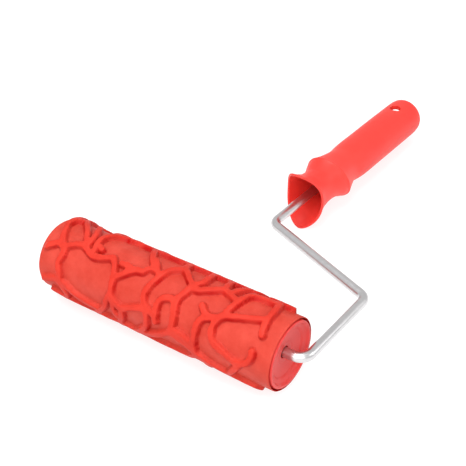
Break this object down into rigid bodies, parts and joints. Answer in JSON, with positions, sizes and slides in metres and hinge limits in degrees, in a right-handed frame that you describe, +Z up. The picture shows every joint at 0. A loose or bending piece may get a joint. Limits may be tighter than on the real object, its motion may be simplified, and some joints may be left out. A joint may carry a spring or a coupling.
{
  "type": "textured pattern roller",
  "caption": "Hand roller with a raised cobble-pattern rubber sleeve on a bent chromed rod, and a hollow plastic handle with a pole socket.",
  "frame": {"origin": "middle of the tool's footprint, on the floor that the sleeve's ridges and the handle's lower lip stand on", "axes": "+Y from the roller to the handle's tail, +X along the roller axis towards the side leg, +Z up"},
  "size_m": [0.192, 0.3322, 0.0532],
  "materials": {
    "sleeve_rubber": "satin moulded rubber",
    "core_plastic": "matt",
    "cap_plastic": "satin gloss",
    "bush_plastic": "satin",
    "zinc_steel": "zinc plated",
    "rod_chrome": "bright chrome",
    "handle_plastic": "satin gloss"
  },
  "bodies": {
    "frame": {"frame_rod": "rod_chrome", "handle": "handle_plastic", "washer_near": "zinc_steel", "stop_ring": "zinc_steel", "washer_far": "zinc_steel", "push_nut": "zinc_steel"},
    "roller": {"pattern_sleeve": "sleeve_rubber", "core_tube": "core_plastic", "end_cap_near": "cap_plastic", "end_cap_far": "cap_plastic", "bush_near": "bush_plastic", "bush_far": "bush_plastic"}
  },
  "joints": [
    {"name": "roller_spin", "type": "hinge", "parent": "frame", "child": "roller", "pos_m": [-0.00602, -0.13952, 0.0266], "axis": [1, 0, 0], "continuous": true}
  ]
}
